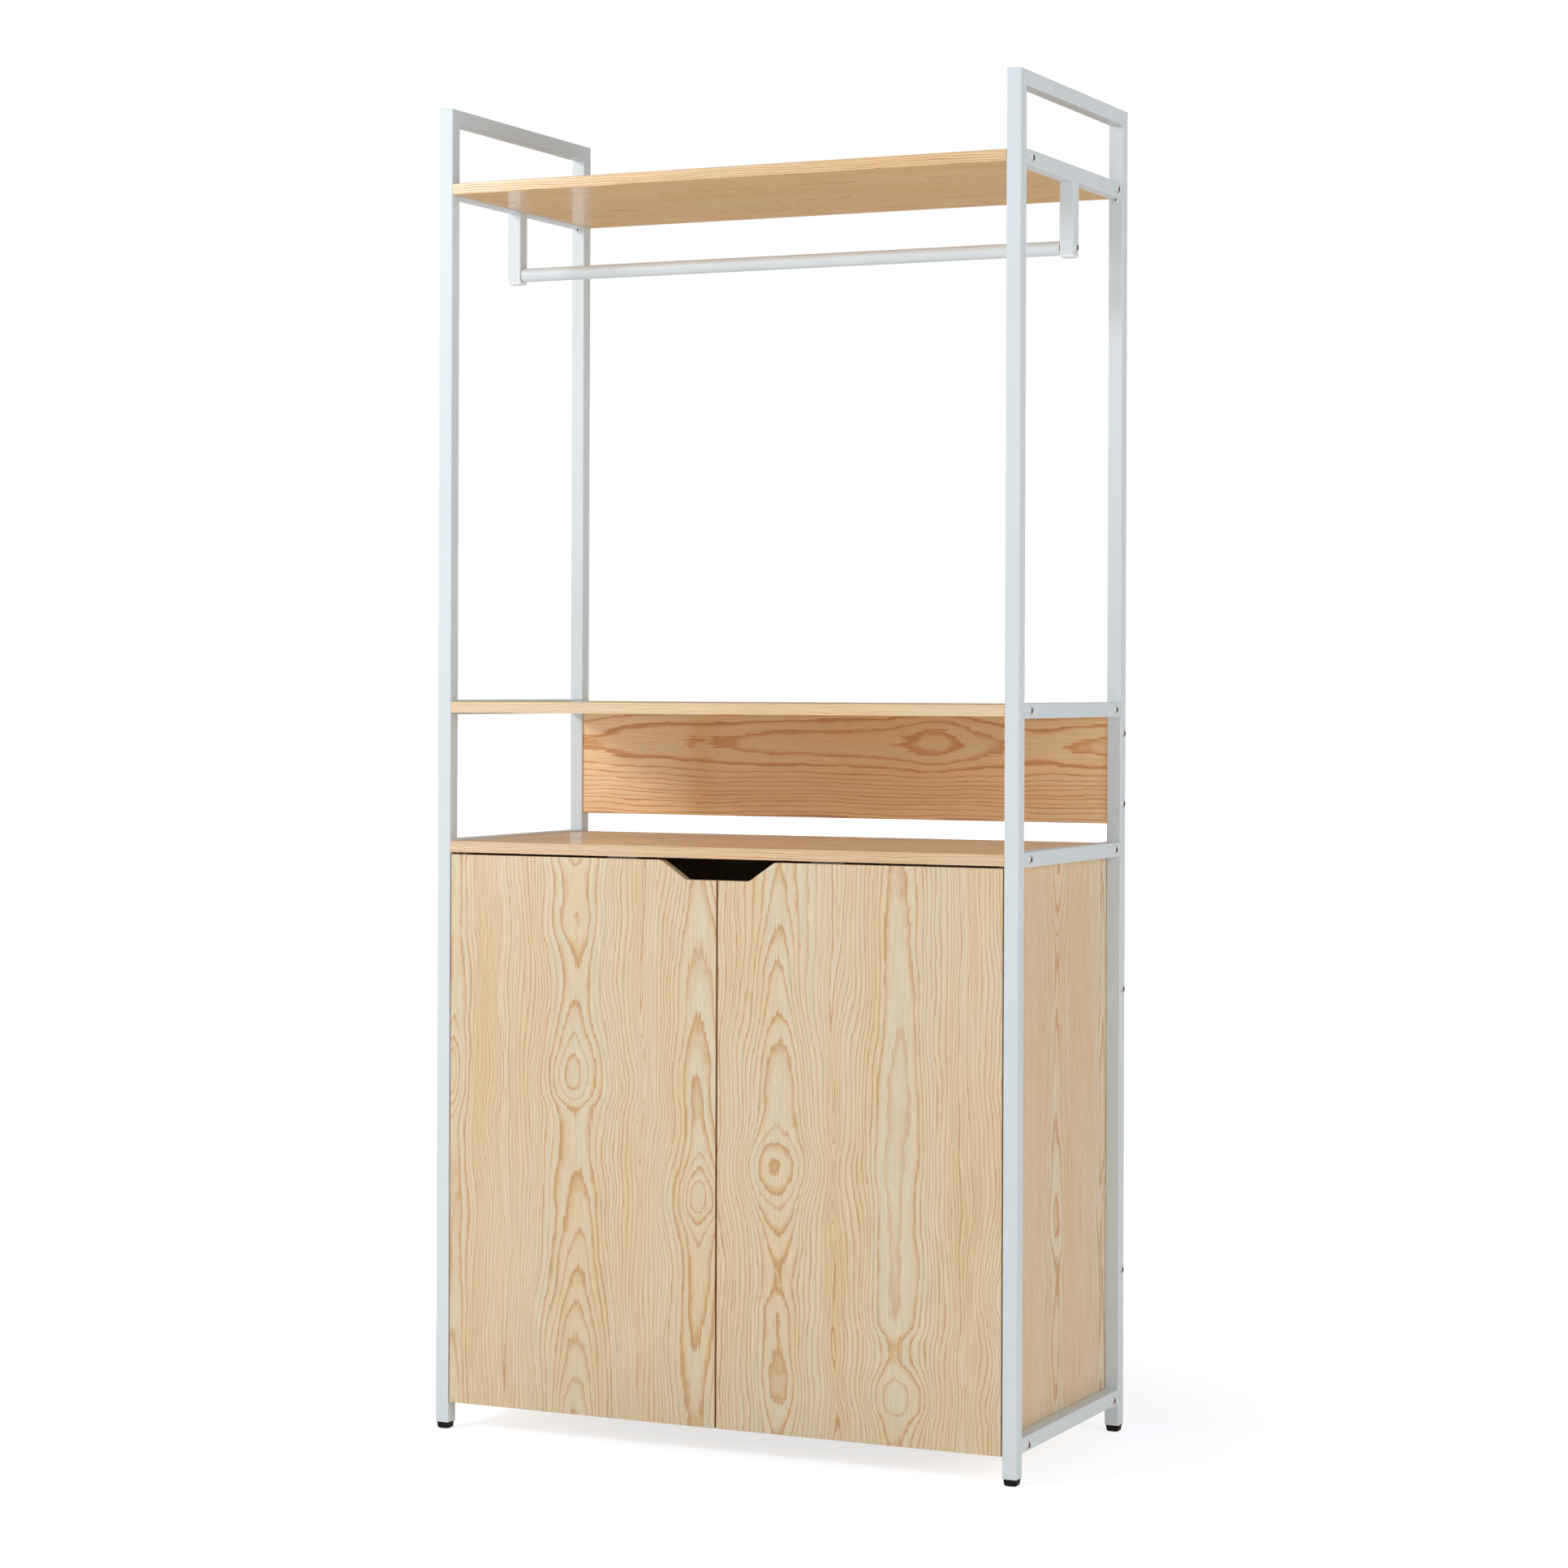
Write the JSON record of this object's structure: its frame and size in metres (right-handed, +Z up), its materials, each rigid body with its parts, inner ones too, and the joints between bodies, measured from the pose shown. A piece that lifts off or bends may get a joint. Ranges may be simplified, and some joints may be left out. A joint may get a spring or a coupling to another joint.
{
  "type": "hall stand",
  "caption": "Tall hall stand: white square-tube side frames with a top shelf and clothes rail over a pale wood shelf and a hinged cabinet with a finger notch.",
  "frame": {"origin": "on the floor, midway between the feet", "axes": "+X to the right seen from the front, +Y from the front to the rear, +Z up"},
  "size_m": [0.856, 0.4, 1.8],
  "materials": {
    "white_powder_coat": "satin white powder coat",
    "pale_oak_board": "satin pale oak laminate",
    "dowel_beech": "bare",
    "screw_steel": "bright zinc plate",
    "hinge_steel": "nickel plate",
    "insert_steel": "zinc plate",
    "white_plastic": "matt",
    "catch_plastic": "matt",
    "foot_plastic": "matt black"
  },
  "bodies": {
    "carcass": {"back_panel": "pale_oak_board", "cabinet_bottom": "pale_oak_board", "cabinet_top": "pale_oak_board", "clothes_rail": "white_powder_coat", "compartment_backboard": "pale_oak_board", "dowels": "dowel_beech", "inner_shelf": "pale_oak_board", "left_bottom_rail": "white_powder_coat", "left_bracket_cap": "white_plastic", "left_cabinet_top_rail": "white_powder_coat", "left_frame_screws": "screw_steel", "left_front_foot": "foot_plastic", "left_front_post": "white_powder_coat", "left_hanging_bracket": "white_powder_coat", "left_lower_hinge_arm": "hinge_steel", "left_magnetic_catch": "catch_plastic", "left_middle_shelf_rail": "white_powder_coat", "left_rail_plug": "insert_steel", "left_rail_screw": "screw_steel", "left_rear_foot": "foot_plastic", "left_rear_post": "white_powder_coat", "left_side_panel": "pale_oak_board", "left_threaded_inserts": "insert_steel", "left_top_rail": "white_powder_coat", "left_upper_hinge_arm": "hinge_steel", "left_upper_shelf_rail": "white_powder_coat", "middle_shelf": "pale_oak_board", "post_plugs": "white_plastic", "right_bottom_rail": "white_powder_coat", "right_bracket_cap": "white_plastic", "right_cabinet_top_rail": "white_powder_coat", "right_frame_screws": "screw_steel", "right_front_foot": "foot_plastic", "right_front_post": "white_powder_coat", "right_hanging_bracket": "white_powder_coat", "right_lower_hinge_arm": "hinge_steel", "right_magnetic_catch": "catch_plastic", "right_middle_shelf_rail": "white_powder_coat", "right_rail_plug": "insert_steel", "right_rail_screw": "screw_steel", "right_rear_foot": "foot_plastic", "right_rear_post": "white_powder_coat", "right_side_panel": "pale_oak_board", "right_threaded_inserts": "insert_steel", "right_top_rail": "white_powder_coat", "right_upper_hinge_arm": "hinge_steel", "right_upper_shelf_rail": "white_powder_coat", "shelf_pegs": "hinge_steel", "top_shelf": "pale_oak_board"},
    "left_door": {"left_door": "pale_oak_board", "left_hinge_pins": "hinge_steel", "left_lower_hinge_cup": "hinge_steel", "left_strike_plate": "hinge_steel", "left_upper_hinge_cup": "hinge_steel"},
    "right_door": {"right_door": "pale_oak_board", "right_hinge_pins": "hinge_steel", "right_lower_hinge_cup": "hinge_steel", "right_strike_plate": "hinge_steel", "right_upper_hinge_cup": "hinge_steel"}
  },
  "joints": [
    {"name": "left_door_hinge", "type": "hinge", "parent": "carcass", "child": "left_door", "pos_m": [-0.3945, -0.1954, 0.41025], "axis": [0, 0, -1], "range_deg": [0, 90]},
    {"name": "right_door_hinge", "type": "hinge", "parent": "carcass", "child": "right_door", "pos_m": [0.3945, -0.1954, 0.41025], "axis": [0, 0, 1], "range_deg": [0, 90]}
  ]
}
